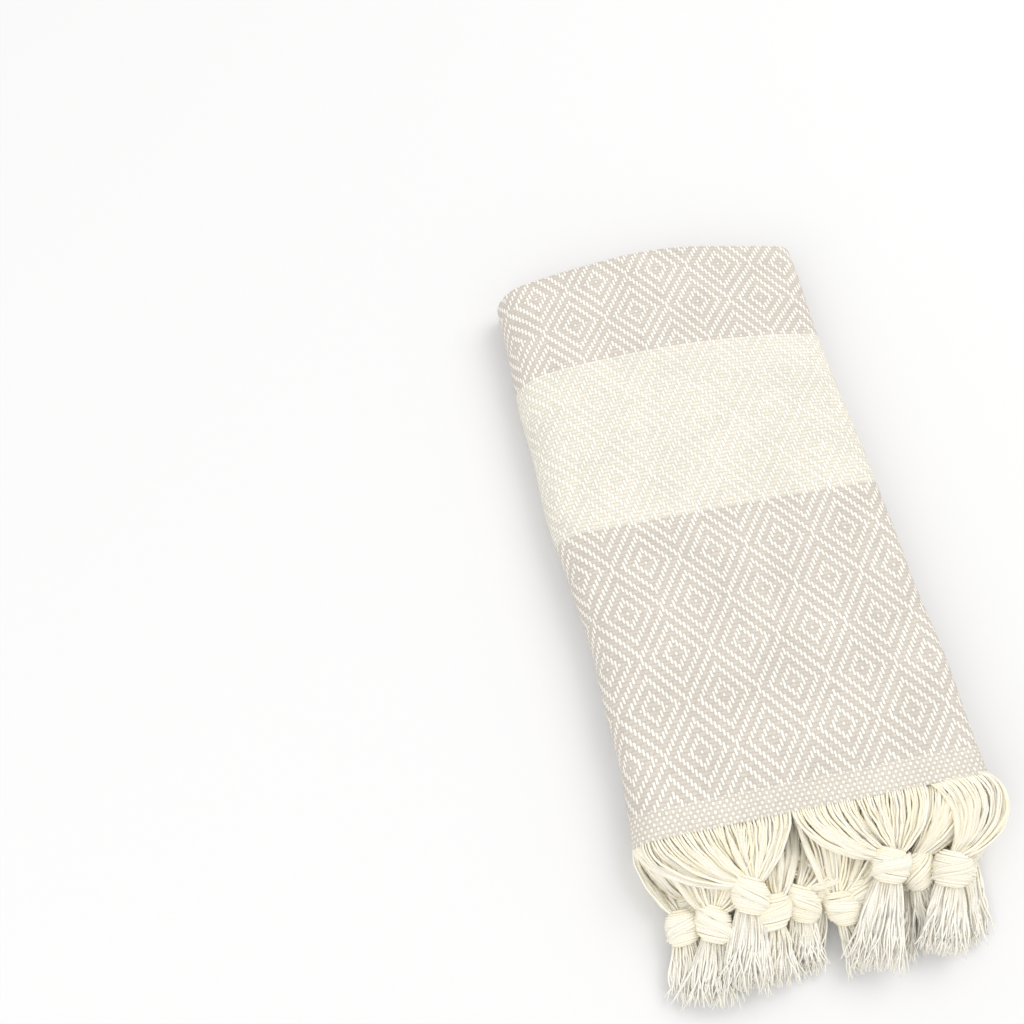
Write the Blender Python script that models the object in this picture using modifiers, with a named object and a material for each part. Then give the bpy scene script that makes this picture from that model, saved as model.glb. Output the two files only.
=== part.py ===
"""Hammam towel: one woven cloth folded in four each way, with a knotted fringe at both ends.

The length is folded first, into a pack of four plies with both fringed ends at the near side.
Then the pack's two sides are folded in to the middle, and the whole is folded once more, so the
widest turn is the rounded left side. X runs across the folded towel, Y from the fringe to the
far fold, and Z up. The origin is on the flat underside, below the middle of the cloth.
"""

import math

import bmesh
import bpy
import numpy as np

# Driving sizes, in metres.
PLY = 0.0010  # the cloth's thickness
PITCH = 0.00136  # from one ply to the next
FOLDED_WIDTH = 0.1215
FAR_FOLD = 0.1150  # where the pack turns, furthest from the fringe
HEM = -0.1105  # where the cloth ends and the fringe starts
LEVELS = 16  # plies in the height
TASSELS = 10  # knots at each end of the towel
TASSEL_SPAN = 0.0465  # width of cloth whose warp goes into one knot
PIECE_GAP = 0.0003

WIDE_TURN = (LEVELS - 1) / 2 * PITCH  # radius of the outer ply at the left side
TIGHT_TURN = (LEVELS / 2 - 1) / 2 * PITCH  # radius of the outer ply at each right fold
LEFT_CENTRE = -FOLDED_WIDTH / 2 + WIDE_TURN + PLY / 2
RIGHT_CENTRE = FOLDED_WIDTH / 2 - TIGHT_TURN - PLY / 2
UPPER_SELVEDGE = LEFT_CENTRE - 0.0010
CLOTH_WIDTH = TASSELS * TASSEL_SPAN

# How the sides wander along the length: the place along Y, then the left and the right edge.
SIDES = (
    {"y": -0.1105, "left": -0.0610, "right": 0.0605},
    {"y": -0.0850, "left": -0.0592, "right": 0.0607},
    {"y": -0.0400, "left": -0.0590, "right": 0.0590},
    {"y": 0.0100, "left": -0.0640, "right": 0.0580},
    {"y": 0.0600, "left": -0.0648, "right": 0.0560},
    {"y": 0.1150, "left": -0.0645, "right": 0.0562},
)
FAR_BOW = 0.0080  # how much shorter the cloth lies at its sides than in its middle
SIDE_DROP = 0.045  # share of its height that the stack loses at its sides
SWELL = 0.012  # share of its height that it rises and falls along its length
SWELL_TURN = 60.0  # radians of that rise and fall to the metre
NEAR_TURN_BACK = 0.0040  # how far behind the hems the pack turns at its near side

# Where each tassel lies: the middle of its knot, and the end of its tail.
OUTER_TASSELS = (
    {"knot": (-0.0272, -0.1320, 0.0092), "tail": (-0.0300, -0.1590, 0.0080)},
    {"knot": (-0.0030, -0.1320, 0.0094), "tail": (-0.0050, -0.1590, 0.0080)},
    {"knot": (0.0425, -0.1330, 0.0170), "tail": (0.0320, -0.1620, 0.0146)},
    {"knot": (0.0190, -0.1320, 0.0170), "tail": (0.0090, -0.1600, 0.0148)},
    {"knot": (-0.0285, -0.1320, 0.0170), "tail": (-0.0330, -0.1600, 0.0148)},
    {"knot": (-0.0550, -0.1310, 0.0065), "tail": (-0.0550, -0.1580, 0.0050)},
    {"knot": (-0.0240, -0.1320, 0.0025), "tail": (-0.0240, -0.1600, 0.0019)},
    {"knot": (0.0440, -0.1320, 0.0025), "tail": (0.0440, -0.1600, 0.0019)},
    {"knot": (0.0450, -0.1320, 0.0084), "tail": (0.0440, -0.1600, 0.0062)},
    {"knot": (0.0090, -0.1320, 0.0082), "tail": (0.0080, -0.1600, 0.0060)},
)
INNER_TASSELS = (
    {"knot": (-0.0160, -0.1340, 0.0110), "tail": (-0.0180, -0.1600, 0.0094)},
    {"knot": (0.0240, -0.1340, 0.0106), "tail": (0.0190, -0.1600, 0.0090)},
    {"knot": (0.0310, -0.1350, 0.0164), "tail": (0.0210, -0.1610, 0.0130)},
    {"knot": (0.0060, -0.1370, 0.0126), "tail": (-0.0040, -0.1620, 0.0110)},
    {"knot": (-0.0385, -0.1370, 0.0106), "tail": (-0.0440, -0.1620, 0.0098)},
    {"knot": (-0.0430, -0.1320, 0.0086), "tail": (-0.0430, -0.1590, 0.0068)},
    {"knot": (0.0000, -0.1340, 0.0048), "tail": (-0.0010, -0.1610, 0.0032)},
    {"knot": (0.0210, -0.1340, 0.0048), "tail": (0.0200, -0.1610, 0.0032)},
    {"knot": (0.0320, -0.1340, 0.0050), "tail": (0.0320, -0.1610, 0.0052)},
    {"knot": (-0.0120, -0.1340, 0.0052), "tail": (-0.0120, -0.1610, 0.0049)},
)

# A tassel's solid from its neck to its tips: how far along (0 at the hem, 1 at the knot's middle,
# 2 at the tips), and its width and thickness there.
TASSEL_FORM = (
    {"along": 0.82, "width": 0.0056, "thick": 0.0018},
    {"along": 0.92, "width": 0.0096, "thick": 0.0038},
    {"along": 1.10, "width": 0.0098, "thick": 0.0038},
    {"along": 1.24, "width": 0.0064, "thick": 0.0028},
    {"along": 2.00, "width": 0.0098, "thick": 0.0028},
)
WEB_RINGS = (0.35, 0.70)  # shares of the way from the header to the neck
HEADER = 0.0022  # length of loose warp before it divides into tassels
HEADER_THICK = 0.0004  # thinner than the cloth, so that only the cloth touches the ground

CLOTH_COLOUR = (0.61, 0.55, 0.47, 1.0)
FRINGE_COLOUR = (0.82, 0.74, 0.60, 1.0)


def level(ply):
    """Height of the middle of a ply, counted from the one on the ground."""
    return PLY / 2 + ply * PITCH


# The way across the folded towel, followed on the outermost ply: straight runs and half turns.
# Runs hold their ends along X, their height and which way is out. Turns hold their centre,
# radius and first angle, in degrees, and go a half turn anticlockwise.
TOP, MIDDLE = LEVELS - 1, LEVELS // 2
WAY = (
    {"run": (UPPER_SELVEDGE, RIGHT_CENTRE), "z": level(MIDDLE), "out": -1},
    {"turn": (RIGHT_CENTRE, level((TOP + MIDDLE) / 2)), "radius": TIGHT_TURN, "from": -90},
    {"run": (RIGHT_CENTRE, LEFT_CENTRE), "z": level(TOP), "out": 1},
    {"turn": (LEFT_CENTRE, level(TOP / 2)), "radius": WIDE_TURN, "from": 90},
    {"run": (LEFT_CENTRE, RIGHT_CENTRE), "z": level(0), "out": -1},
    {"turn": (RIGHT_CENTRE, level((MIDDLE - 1) / 2)), "radius": TIGHT_TURN, "from": -90},
    {"run": (RIGHT_CENTRE, LEFT_CENTRE), "z": level(MIDDLE - 1), "out": 1},
)


def length_of(leg):
    if "run" in leg:
        return abs(leg["run"][1] - leg["run"][0])
    return math.pi * leg["radius"]


def across(distance):
    """The outermost ply's place (x, z) and outward direction at a distance from its selvedge."""
    for leg in WAY:
        if distance <= length_of(leg) or leg is WAY[-1]:
            break
        distance -= length_of(leg)
    if "run" in leg:
        start, end = leg["run"]
        step = distance if end > start else -distance
        return np.array([start + step, leg["z"]]), np.array([0.0, leg["out"]])
    angle = math.radians(leg["from"]) + distance / leg["radius"]
    out = np.array([math.cos(angle), math.sin(angle)])
    return np.array(leg["turn"]) + leg["radius"] * out, out


def stations(start, end, run_step, turn_step):
    """Distances from start to end: even steps on each run, and even angles on each turn."""
    found, leg_start = [start, end], 0.0
    for leg in WAY:
        length = length_of(leg)
        step = run_step if "run" in leg else leg["radius"] * math.radians(turn_step)
        found += list(leg_start + np.linspace(0.0, length, max(2, round(length / step) + 1)))
        leg_start += length
    inside = sorted(d for d in found if start <= d <= end)
    kept = [inside[0]]
    for distance in inside[1:-1]:
        if distance - kept[-1] > 0.0014 and end - distance > 0.0014:
            kept.append(distance)
    return kept + [end]


def settle(x, y, z):
    """The neat fold moved to where the cloth really lies: its sides wander, its far fold bows,
    and the stack is a little lower at its sides than in its middle."""
    rows = [row["y"] for row in SIDES]
    left = np.interp(y, rows, [row["left"] for row in SIDES])
    right = np.interp(y, rows, [row["right"] for row in SIDES])
    side = x / (FOLDED_WIDTH / 2)
    height = 1.0 - SIDE_DROP * side**4 - SWELL * math.cos(SWELL_TURN * y + 1.5 * side)
    settled_x = left + (side + 1) / 2 * (right - left)
    settled_y = y - FAR_BOW * side**2 * max(0.0, y / FAR_FOLD)
    return settled_x, settled_y, PLY / 2 + (z - PLY / 2) * height


def half_turn(y, first, last, way, steps):
    """Points (y, depth) of a half turn from one depth to another, bulging along way times Y."""
    middle, reach = (first + last) / 2, abs(last - first) / 2
    angles = [math.pi * step / steps for step in range(steps + 1)]
    return [
        (y + way * reach * math.sin(a), middle + (first - middle) * math.cos(a)) for a in angles
    ]


def pack_profile():
    """The pack's four plies as one line from fringe to fringe: (y, depth below the outer ply)."""
    runs = [row["y"] for row in SIDES][1:-1]
    far = FAR_FOLD - 1.5 * PITCH - PLY / 2
    line = [(HEM, 0.0)] + [(y, 0.0) for y in runs]
    line += half_turn(far, 0.0, 3 * PITCH, 1, 4)
    line += [(y, 3 * PITCH) for y in reversed(runs)]
    line += half_turn(HEM + NEAR_TURN_BACK, 3 * PITCH, 2 * PITCH, -1, 4)
    line += [(y, 2 * PITCH) for y in runs]
    line += half_turn(far - PIECE_GAP, 2 * PITCH, PITCH, 1, 4)
    return line + [(y, PITCH) for y in reversed(runs)] + [(HEM, PITCH)]


def new_object(name, points, faces, colour, collection):
    mesh = bpy.data.meshes.new(name)
    mesh.from_pydata([tuple(point) for point in points], [], faces)
    shape = bmesh.new()
    shape.from_mesh(mesh)
    bmesh.ops.recalc_face_normals(shape, faces=shape.faces)
    shape.to_mesh(mesh)
    shape.free()
    material = bpy.data.materials.new(name)
    material.use_nodes = True
    shader = material.node_tree.nodes["Principled BSDF"]
    shader.inputs["Base Color"].default_value = colour
    shader.inputs["Roughness"].default_value = 0.9
    shader.inputs["Metallic"].default_value = 0.0
    mesh.materials.append(material)
    made = bpy.data.objects.new(name, mesh)
    collection.objects.link(made)
    mesh.shade_smooth()
    mesh.set_sharp_from_angle(angle=math.radians(50))
    return made


def make_cloth(collection):
    """The whole cloth: the pack's profile carried across the towel, then given its thickness."""
    profile = pack_profile()
    distances = stations(0.0, CLOTH_WIDTH, 0.0200, 26)
    points, faces = [], []
    for distance in distances:
        place, out = across(distance)
        for y, depth in profile:
            x, z = place - out * depth
            points.append(settle(x, y, z))
    wide = len(profile)
    for i in range(len(distances) - 1):
        for k in range(wide - 1):
            a = i * wide + k
            faces.append((a, a + 1, a + wide + 1, a + wide))
    cloth = new_object("cloth", points, faces, CLOTH_COLOUR, collection)
    solid = cloth.modifiers.new("Thickness", "SOLIDIFY")
    solid.thickness = PLY
    solid.offset = 0.0
    return cloth


def tassel_rings(base, row, out):
    """Rings from the web to the tips, each with as many points as the base they grow from."""
    knot, tail = np.array(row["knot"]), np.array(row["tail"])
    middle = base.mean(axis=0)
    half = len(base) // 2
    wide_way, thick_way = np.array([-out[1], 0.0, out[0]]), np.array([out[0], 0.0, out[1]])
    # The base runs along the outer face and back along the inner one, and so does each ellipse.
    turn = np.array([math.pi * (half - 0.5 - k) / half for k in range(2 * half)])
    rings = []
    for form in TASSEL_FORM:
        if form["along"] <= 1.0:
            centre = middle + (knot - middle) * form["along"]
        else:
            centre = knot + (tail - knot) * (form["along"] - 1.0)
        wide = np.outer(np.cos(turn), wide_way) * form["width"] / 2
        thick = np.outer(np.sin(turn), thick_way) * form["thick"] / 2
        rings.append(centre + wide + thick)
    webs = [base + (rings[0] - base) * share for share in WEB_RINGS]
    return webs + rings


def make_fringe(name, rows, depth, collection):
    """One comb: a header that follows the hem's folds, and a tassel for each span of the cloth."""
    back, front = HEM - PIECE_GAP, HEM - PIECE_GAP - HEADER
    distances, starts = [], [0]
    for tassel in range(TASSELS):
        span = stations(tassel * TASSEL_SPAN, (tassel + 1) * TASSEL_SPAN, 0.0250, 60)
        distances += span if tassel == 0 else span[1:]
        starts.append(len(distances) - 1)
    points, faces = [], []
    for distance in distances:
        place, out = across(distance)
        for y, side in ((back, 1), (front, 1), (front, -1), (back, -1)):
            x, z = place - out * (depth - side * HEADER_THICK / 2)
            points.append(settle(x, y, z))
    for i in range(len(distances) - 1):
        a, b = 4 * i, 4 * i + 4
        faces += [(a, a + 1, b + 1, b), (a + 2, a + 3, b + 3, b + 2), (a + 3, a, b, b + 3)]
    last = 4 * (len(distances) - 1)
    faces += [(3, 2, 1, 0), (last, last + 1, last + 2, last + 3)]
    for tassel, row in enumerate(rows):
        first, end = starts[tassel], starts[tassel + 1]
        previous = [4 * i + 1 for i in range(first, end + 1)]
        previous += [4 * i + 2 for i in range(end, first - 1, -1)]
        base = np.array([points[i] for i in previous])
        _, out = across((tassel + 0.5) * TASSEL_SPAN)
        for ring in tassel_rings(base, row, out):
            start = len(points)
            points += list(ring)
            ids = list(range(start, start + len(ring)))
            for k in range(len(ids)):
                n = (k + 1) % len(ids)
                faces.append((previous[k], ids[k], ids[n], previous[n]))
            previous = ids
        faces.append(tuple(reversed(previous)))
    return new_object(name, points, faces, FRINGE_COLOUR, collection)


def main():
    for old in list(bpy.data.objects):
        bpy.data.objects.remove(old)
    towel = bpy.data.collections.new("hammam_towel")
    bpy.context.scene.collection.children.link(towel)
    make_cloth(towel)
    make_fringe("outer_fringe", OUTER_TASSELS, 0.0, towel)
    make_fringe("inner_fringe", INNER_TASSELS, PITCH, towel)


main()
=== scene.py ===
# %% [markdown]
# # A small hammam towel, folded, with a knotted fringe at both ends
#
# The towel is one length of coarse cotton, woven in a small diamond twill with a plain pale band
# near each end, and it is folded in four each way. What the eye meets is the thread: white warp
# floats over a greige weft, the fold rolling over at the left side, and the loose warp beyond the
# hem, gathered into knots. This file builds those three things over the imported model.

import math

import bpy
import numpy as np
from mathutils import Matrix, Vector


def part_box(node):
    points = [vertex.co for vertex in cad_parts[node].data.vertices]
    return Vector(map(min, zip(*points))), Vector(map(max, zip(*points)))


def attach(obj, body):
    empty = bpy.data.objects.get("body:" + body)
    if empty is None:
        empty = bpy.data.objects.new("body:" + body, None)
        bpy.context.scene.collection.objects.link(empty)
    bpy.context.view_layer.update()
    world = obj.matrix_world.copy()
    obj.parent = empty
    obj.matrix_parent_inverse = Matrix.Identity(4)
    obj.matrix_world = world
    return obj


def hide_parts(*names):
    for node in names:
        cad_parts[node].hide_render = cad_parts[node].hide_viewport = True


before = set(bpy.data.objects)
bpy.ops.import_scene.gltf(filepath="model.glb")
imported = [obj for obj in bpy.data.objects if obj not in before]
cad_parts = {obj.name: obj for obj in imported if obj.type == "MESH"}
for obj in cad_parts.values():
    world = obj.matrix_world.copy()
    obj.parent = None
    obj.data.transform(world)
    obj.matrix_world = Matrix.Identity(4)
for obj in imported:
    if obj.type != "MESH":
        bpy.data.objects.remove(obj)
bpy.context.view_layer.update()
CLOTH_LOW, CLOTH_HIGH = (np.array(corner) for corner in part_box("cloth"))
print("folded cloth", np.round(1000 * (CLOTH_HIGH - CLOTH_LOW), 1), "mm")

# %% [markdown]
# ## The camera
#
# Someone stands over the towel and looks down at it a little from the left, so its far end leans
# to the left. A camera is easiest to place by saying what it looks at, from which side, how steeply
# and from how far. The lens is a short one, close up, which is why the near end looks wider.

# %% Place the camera
LOOKS_AT = np.array([-0.0760, 0.0174, 0.0100])
CAMERA_TURN = math.radians(13.2)
CAMERA_DOWN = math.radians(65.5)
CAMERA_ROLL = math.radians(2.0)
CAMERA_AWAY = 0.4612
LENS_MM, SENSOR_MM = 43.8, 36.0


def place_camera():
    flat = math.cos(CAMERA_DOWN)
    ahead = np.array(
        [math.sin(CAMERA_TURN) * flat, math.cos(CAMERA_TURN) * flat, -math.sin(CAMERA_DOWN)]
    )
    level = np.array([math.cos(CAMERA_TURN), -math.sin(CAMERA_TURN), 0.0])
    upright = np.cross(level, ahead)
    right = math.cos(CAMERA_ROLL) * level + math.sin(CAMERA_ROLL) * upright
    up = -math.sin(CAMERA_ROLL) * level + math.cos(CAMERA_ROLL) * upright
    data = bpy.data.cameras.new("camera")
    data.lens, data.sensor_width = LENS_MM, SENSOR_MM
    data.clip_start = 0.01
    camera = bpy.data.objects.new("camera", data)
    bpy.context.scene.collection.objects.link(camera)
    place = LOOKS_AT - ahead * CAMERA_AWAY
    columns = np.stack([right, up, -ahead, place], axis=1)
    camera.matrix_world = Matrix([list(row) for row in columns] + [[0.0, 0.0, 0.0, 1.0]])
    bpy.context.scene.camera = camera
    return camera


place_camera()

# %% [markdown]
# ## The way the cloth is folded
#
# The length is folded first, into a pack of four plies. The pack's sides are turned in to the
# middle and the whole is folded once more, so sixteen plies lie on each other. One rule gives all
# of that: walk across the towel on its outermost ply, along straight runs and round half turns,
# and hang the pack's own profile from each step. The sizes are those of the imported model, so the
# cloth falls on its solid.

# %% The sizes of the fold
PLY = 0.0010
PITCH = 0.00136
LEVELS = 16
HALF_WIDTH = 0.12150 / 2
FAR_FOLD, HEM = 0.1150, -0.1105
CLOTH_WIDTH = 0.465
TOP, MIDDLE = LEVELS - 1, LEVELS // 2
WIDE_TURN, TIGHT_TURN = TOP / 2 * PITCH, (MIDDLE - 1) / 2 * PITCH
LEFT_CENTRE = -HALF_WIDTH + WIDE_TURN + PLY / 2
RIGHT_CENTRE = HALF_WIDTH - TIGHT_TURN - PLY / 2


def level(ply):
    return PLY / 2 + ply * PITCH


# A run goes from one place along X to another. A turn is a half turn, anticlockwise.
WAY = (
    {"run": (LEFT_CENTRE - 0.0010, RIGHT_CENTRE), "z": level(MIDDLE), "out": -1},
    {"turn": (RIGHT_CENTRE, level((TOP + MIDDLE) / 2)), "radius": TIGHT_TURN, "from": -90},
    {"run": (RIGHT_CENTRE, LEFT_CENTRE), "z": level(TOP), "out": 1},
    {"turn": (LEFT_CENTRE, level(TOP / 2)), "radius": WIDE_TURN, "from": 90},
    {"run": (LEFT_CENTRE, RIGHT_CENTRE), "z": level(0), "out": -1},
    {"turn": (RIGHT_CENTRE, level((MIDDLE - 1) / 2)), "radius": TIGHT_TURN, "from": -90},
    {"run": (RIGHT_CENTRE, LEFT_CENTRE), "z": level(MIDDLE - 1), "out": 1},
)


def leg_length(leg):
    if "run" in leg:
        return abs(leg["run"][1] - leg["run"][0])
    return math.pi * leg["radius"]


def across(distances):
    """Places (x, z) and outward directions on the outermost ply, counted from its selvedge."""
    distances = np.asarray(distances, float)
    place, out = np.zeros((len(distances), 2)), np.zeros((len(distances), 2))
    start = 0.0
    for leg in WAY:
        here = distances >= start - 1e-9
        gone = distances[here] - start
        if "run" in leg:
            first, last = leg["run"]
            place[here, 0] = first + np.sign(last - first) * gone
            place[here, 1] = leg["z"]
            out[here] = (0.0, leg["out"])
        else:
            angle = math.radians(leg["from"]) + gone / leg["radius"]
            out[here] = np.stack([np.cos(angle), np.sin(angle)], axis=1)
            place[here] = np.array(leg["turn"]) + leg["radius"] * out[here]
        start += leg_length(leg)
    return place, out


print("across the towel", round(1000 * sum(map(leg_length, WAY))), "mm of way to fold along")

# %% [markdown]
# ## How the folded towel settles
#
# A neat fold looks like a box. The real one has sides that wander by a few millimetres, a far end
# that bows, and a top that swells and dips softly where the layers below it lie unevenly. All of
# that is one smooth movement of space, worked out from a point's place, so plies that lie close
# together move together and never meet. A few soft troughs, listed one by one, are then pressed in.

# %% Wandering sides, bowed end, swells and troughs
SIDES = (
    {"y": -0.1105, "left": -0.0610, "right": 0.0605},
    {"y": -0.0850, "left": -0.0592, "right": 0.0607},
    {"y": -0.0400, "left": -0.0590, "right": 0.0590},
    {"y": 0.0100, "left": -0.0640, "right": 0.0580},
    {"y": 0.0600, "left": -0.0648, "right": 0.0560},
    {"y": 0.1150, "left": -0.0645, "right": 0.0562},
)
FAR_BOW = 0.0080
SIDE_DROP, SWELL, SWELL_TURN = 0.045, 0.012, 60.0

# Middle, direction in degrees from X, half length, half width and depth, in metres.
TROUGHS = (
    {"x": -0.036, "y": 0.030, "turn": 78, "long": 0.060, "wide": 0.007, "deep": 0.00045},
    {"x": 0.030, "y": 0.052, "turn": 100, "long": 0.045, "wide": 0.009, "deep": 0.00035},
    {"x": 0.012, "y": -0.036, "turn": 35, "long": 0.040, "wide": 0.010, "deep": 0.00040},
    {"x": 0.040, "y": -0.070, "turn": 62, "long": 0.034, "wide": 0.008, "deep": 0.00045},
    {"x": -0.030, "y": -0.080, "turn": 120, "long": 0.030, "wide": 0.008, "deep": 0.00040},
    {"x": -0.004, "y": 0.092, "turn": 12, "long": 0.038, "wide": 0.007, "deep": 0.00050},
)


def smooth_table(y, column):
    """A column of SIDES, joined by a curve with no corners."""
    grid = np.linspace(-0.20, 0.15, 176)
    values = np.interp(grid, [row["y"] for row in SIDES], [row[column] for row in SIDES])
    for _ in range(30):
        values[1:-1] = (values[:-2] + 2 * values[1:-1] + values[2:]) / 4
    return np.interp(y, grid, values)


def wander(a, b, seed):
    """A smooth field between about -1 and 1 that doesn't repeat over the towel."""
    waves = np.random.default_rng(seed).uniform(0.0, 1.0, (5, 3))
    field = np.zeros(np.broadcast(a, b).shape)
    for turn, scale, phase in waves:
        way = 2 * math.pi * turn
        step = 0.6 + 1.1 * scale
        field = field + np.sin(step * (a * math.cos(way) + b * math.sin(way)) + 6.3 * phase)
    return field / 2.6


def settle(x, y, z):
    """Move points of the neat fold to where the cloth really lies."""
    side = x / HALF_WIDTH
    lift = (z - PLY / 2) / level(TOP)
    height = 1.0 - SIDE_DROP * side**4 - SWELL * np.cos(SWELL_TURN * y + 1.5 * side)
    top = PLY / 2 + (z - PLY / 2) * height
    top = top + 0.00030 * lift * wander(x / 0.011, y / 0.014, 4)
    for trough in TROUGHS:
        turn = math.radians(trough["turn"])
        dx, dy = x - trough["x"], y - trough["y"]
        along = (dx * math.cos(turn) + dy * math.sin(turn)) / trough["long"]
        aside = (dy * math.cos(turn) - dx * math.sin(turn)) / trough["wide"]
        top = top - trough["deep"] * lift**2 * np.exp(-(along**2) - aside**2)
    left, right = smooth_table(y, "left"), smooth_table(y, "right")
    moved_x = left + (side + 1) / 2 * (right - left)
    moved_x = moved_x + 0.00035 * side**3 * wander(y / 0.010, z / 0.004, 7)
    moved_y = y - FAR_BOW * side**2 * np.maximum(0.0, y / FAR_FOLD)
    far_share = np.clip((y - 0.07) / 0.04, 0.0, 1.0)
    moved_y = moved_y + 0.0006 * far_share * wander(x / 0.012, z / 0.005, 9)
    return np.stack([moved_x, moved_y, top], axis=-1)


# %% [markdown]
# ## The cloth
#
# The cloth is a thin sheet: one grid of points, with the pack's profile along one side of the grid
# and the way across the towel along the other, thickened by a modifier. Each corner also keeps
# where it lies in the *unfolded* cloth, as a UV map in metres. The weave is drawn from that map, so
# its threads follow every fold, as they do in cloth.

# %% Build the sheet
LAY_STEP = 0.0046
TURN_STEPS = 12


def half_turn(y, first, last, way, steps):
    """Points (y, depth) of a half turn from one depth to another, bulging along way times Y."""
    middle, reach = (first + last) / 2, abs(last - first) / 2
    angles = [math.pi * step / steps for step in range(steps + 1)]
    return [
        (y + way * reach * math.sin(a), middle + (first - middle) * math.cos(a)) for a in angles
    ]


def pack_profile():
    """The pack's four plies as one line from hem to hem: (y, depth), and its length so far."""
    far = FAR_FOLD - 1.5 * PITCH - PLY / 2
    near = HEM + 0.0040
    steps = round((far - near) / LAY_STEP)
    runs = list(np.linspace(near, far, steps + 1)[1:-1])
    line = [(HEM, 0.0), (HEM + 0.0020, 0.0)] + [(y, 0.0) for y in runs]
    line += half_turn(far, 0.0, 3 * PITCH, 1, 8)
    line += [(y, 3 * PITCH) for y in reversed(runs)]
    line += half_turn(near, 3 * PITCH, 2 * PITCH, -1, 5)
    line += [(y, 2 * PITCH) for y in runs]
    line += half_turn(far - 0.0003, 2 * PITCH, PITCH, 1, 5)
    line += [(y, PITCH) for y in reversed(runs)] + [(HEM + 0.0020, PITCH), (HEM, PITCH)]
    line = np.array(line)
    gone = np.concatenate([[0.0], np.cumsum(np.linalg.norm(np.diff(line, axis=0), axis=1))])
    return line, gone


def way_steps(run_step, turn_steps):
    """Distances across the towel: even steps on the runs and even angles on the turns."""
    found, start = [], 0.0
    for leg in WAY:
        length = leg_length(leg)
        finer = 2 if leg.get("radius", 0.0) == WIDE_TURN else 1
        count = turn_steps * finer if "turn" in leg else round(length / run_step)
        found += list(start + np.linspace(0.0, length, count + 1)[:-1])
        start += length
    return np.array([d for d in found if d < CLOTH_WIDTH - 0.0015] + [CLOTH_WIDTH])


def new_mesh(name, points, faces, uv_name, uvs):
    """A mesh object from arrays. uvs holds one pair for each corner of each face."""
    mesh = bpy.data.meshes.new(name)
    mesh.from_pydata(points.reshape(-1, 3), [], faces)
    layer = mesh.uv_layers.new(name=uv_name)
    layer.data.foreach_set("uv", np.asarray(uvs, np.float32).reshape(-1))
    mesh.shade_smooth()
    made = bpy.data.objects.new(name, mesh)
    bpy.context.scene.collection.objects.link(made)
    return made


def build_cloth():
    profile, gone = pack_profile()
    distances = way_steps(LAY_STEP, TURN_STEPS)
    place, out = across(distances)
    x = place[:, None, 0] - out[:, None, 0] * profile[None, :, 1]
    z = place[:, None, 1] - out[:, None, 1] * profile[None, :, 1]
    y = np.broadcast_to(profile[None, :, 0], x.shape)
    points = settle(x, y, z)
    rows, columns = x.shape
    first = (np.arange(rows - 1)[:, None] * columns + np.arange(columns - 1)[None, :]).ravel()
    faces = np.stack([first, first + 1, first + columns + 1, first + columns], axis=1)
    flat = np.stack(np.broadcast_arrays(distances[:, None], gone[None, :]), axis=-1).reshape(-1, 2)
    cloth = new_mesh("towel_cloth", points, faces, "Unfolded", flat[faces])
    solid = cloth.modifiers.new("Thickness", "SOLIDIFY")
    solid.thickness, solid.offset = 0.9 * PLY, 0.0
    print("cloth:", len(faces), "faces a side,", round(1000 * gone[-1]), "mm from hem to hem")
    return cloth, gone[-1]


towel_cloth, CLOTH_LENGTH = build_cloth()

# %% [markdown]
# ## The weave
#
# The cloth is a diamond twill. White warp ends run the length of the towel, greige picks run
# across it, and over most of the cloth a pick shows where it passes over the ends. Which thread is
# on top at a crossing follows from two counts, one for the end and one for the pick, each rising to
# the middle of its repeat and falling again. Modelled, that would be a quarter of a million
# floats, so it is a node group: it reads the unfolded place, finds the float that covers it, and
# gives back how far the float's edge is, which thread it is, and how high it stands.

# %% Helpers for node groups
def new_group(name, inputs, outputs):
    """An empty shader node group. Inputs and outputs are (name, socket type, default)."""
    group = bpy.data.node_groups.new(name, "ShaderNodeTree")
    for label, kind, default in inputs:
        socket = group.interface.new_socket(name=label, in_out="INPUT", socket_type=kind)
        if default is not None:
            socket.default_value = default
    for label, kind in outputs:
        group.interface.new_socket(name=label, in_out="OUTPUT", socket_type=kind)
    return group, group.nodes.new("NodeGroupInput"), group.nodes.new("NodeGroupOutput")


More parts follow.
